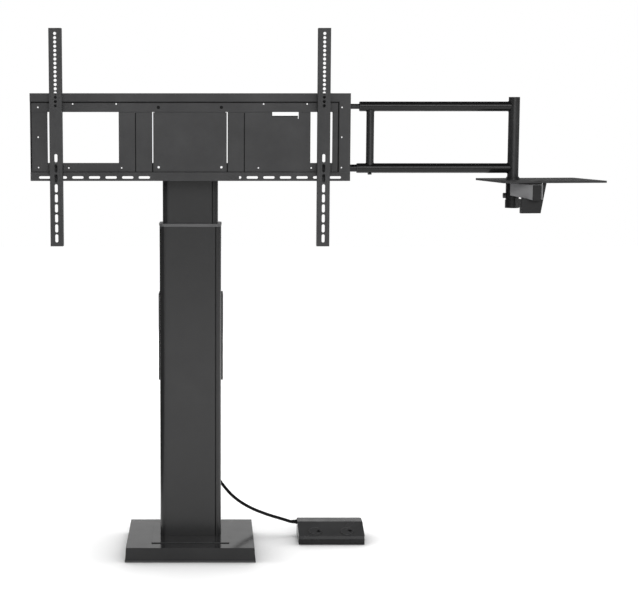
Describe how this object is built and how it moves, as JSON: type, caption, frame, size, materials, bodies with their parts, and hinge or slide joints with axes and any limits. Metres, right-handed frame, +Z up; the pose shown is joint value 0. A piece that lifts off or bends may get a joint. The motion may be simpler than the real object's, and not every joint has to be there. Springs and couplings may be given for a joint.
{
  "type": "motorized tv mount",
  "caption": "Floor-standing telescopic column mount with a wide steel frame, sliding display arms, a side arm with a swivelling laptop tray and a wired push-button console.",
  "frame": {"origin": "on the floor under the column's axis, on the middle floor pad", "axes": "+X to the viewer's right along the display frame, +Y back towards the wall, +Z up"},
  "size_m": [1.7194, 0.3973, 1.613],
  "materials": {
    "base_gloss": "high gloss black paint",
    "column_paint": "satin black paint",
    "frame_paint": "fine matt black powder coat",
    "tube_paint": "semi-gloss black paint",
    "tray_paint": "satin black powder coat",
    "black_paint": "matt black paint",
    "dark_steel": "dark primer",
    "zinc_steel": "bright zinc plate",
    "polished_steel": "ground and polished",
    "satin_steel": "satin",
    "light_metal": "satin light grey",
    "aluminium": "machined",
    "brass": "machined",
    "grey_plastic": "satin dark grey",
    "black_plastic": "fine texture",
    "console_plastic": "glossy",
    "ivory_plastic": "smooth",
    "green_board": "lacquered",
    "rubber": "matt",
    "cord_rubber": "smooth matt"
  },
  "bodies": {
    "base": {"floor_pads": "rubber", "base_plate": "dark_steel", "base_cover": "base_gloss", "foot_trim": "base_gloss", "column_flange": "dark_steel", "hex_bolts": "zinc_steel", "outer_column": "column_paint", "column_collar": "grey_plastic", "upper_glide_pads": "ivory_plastic", "motor": "dark_steel", "gearhead": "zinc_steel", "bearing_block": "zinc_steel", "thrust_bearing": "polished_steel", "wall_bracket": "black_paint", "control_box": "black_paint", "control_lid": "black_paint", "control_board": "green_board", "power_inlet": "black_plastic", "cord_glands": "cord_rubber", "control_cord": "cord_rubber", "console_base": "console_plastic", "console_top": "console_plastic", "console_feet": "rubber", "console_board": "green_board"},
    "lift": {"inner_column": "column_paint", "column_cap": "black_plastic", "lower_glide_pads": "ivory_plastic", "nut_plate": "zinc_steel", "spindle_nut": "brass", "head_bracket": "black_paint", "top_rail": "frame_paint", "bottom_rail": "frame_paint", "left_end_plate": "frame_paint", "right_end_plate": "frame_paint", "frame_posts": "frame_paint", "left_panel": "frame_paint", "centre_panel": "frame_paint", "device_panel": "frame_paint", "frame_bolts": "black_paint", "arm_holder": "frame_paint", "slide_rods": "satin_steel"},
    "drive": {"lead_screw": "polished_steel", "shaft_coupling": "aluminium"},
    "left_arm": {"left_arm": "frame_paint"},
    "right_arm": {"right_arm": "frame_paint"},
    "side_arm": {"upper_tube": "tube_paint", "lower_tube": "tube_paint", "tube_bushes": "black_plastic", "brace_post": "tube_paint", "pole": "tube_paint", "pole_cap": "black_plastic", "stop_collar": "tube_paint"},
    "tube_screw": {"tube_screw": "black_plastic"},
    "tray": {"tray_plate": "tray_paint", "tray_hub": "tube_paint", "tray_carrier": "light_metal", "carrier_box": "black_plastic"},
    "tray_knob": {"tray_knob": "black_plastic"},
    "up_button": {"up_button": "black_plastic"},
    "down_button": {"down_button": "black_plastic"}
  },
  "joints": [
    {"name": "column_lift", "type": "slide", "parent": "base", "child": "lift", "axis": [0, 0, 1], "range_m": [-0.125, 0.375]},
    {"name": "spindle", "type": "hinge", "parent": "base", "child": "drive", "pos_m": [0, 0, 0.3], "axis": [0, 0, 1], "continuous": true},
    {"name": "left_arm_slide", "type": "slide", "parent": "lift", "child": "left_arm", "axis": [1, 0, 0], "range_m": [-0.06, 0.24]},
    {"name": "right_arm_slide", "type": "slide", "parent": "lift", "child": "right_arm", "axis": [1, 0, 0], "range_m": [-0.24, 0.06]},
    {"name": "side_arm_slide", "type": "slide", "parent": "lift", "child": "side_arm", "axis": [1, 0, 0], "range_m": [-0.02, 0.25]},
    {"name": "tube_screw_turn", "type": "hinge", "parent": "side_arm", "child": "tube_screw", "pos_m": [0.543, -0.11, 1.18], "axis": [0, 0, 1], "continuous": true},
    {"name": "tray_turn", "type": "hinge", "parent": "side_arm", "child": "tray", "pos_m": [0.976, -0.11, 1.15], "axis": [0, 0, 1], "continuous": true},
    {"name": "tray_knob_turn", "type": "hinge", "parent": "tray", "child": "tray_knob", "pos_m": [0.95, -0.11, 1.1153], "axis": [1, 0, 0], "continuous": true},
    {"name": "up_button_press", "type": "slide", "parent": "base", "child": "up_button", "axis": [0, -0.3155, 0.9489], "range_m": [-0.002, 0], "stiffness_N_per_m": 400, "springref_m": 0.0005},
    {"name": "down_button_press", "type": "slide", "parent": "base", "child": "down_button", "axis": [0, -0.3155, 0.9489], "range_m": [-0.002, 0], "stiffness_N_per_m": 400, "springref_m": 0.0005}
  ],
  "couplings": [
    {"joint": "spindle", "follows": "column_lift", "rad_per_m": 314.16}
  ]
}
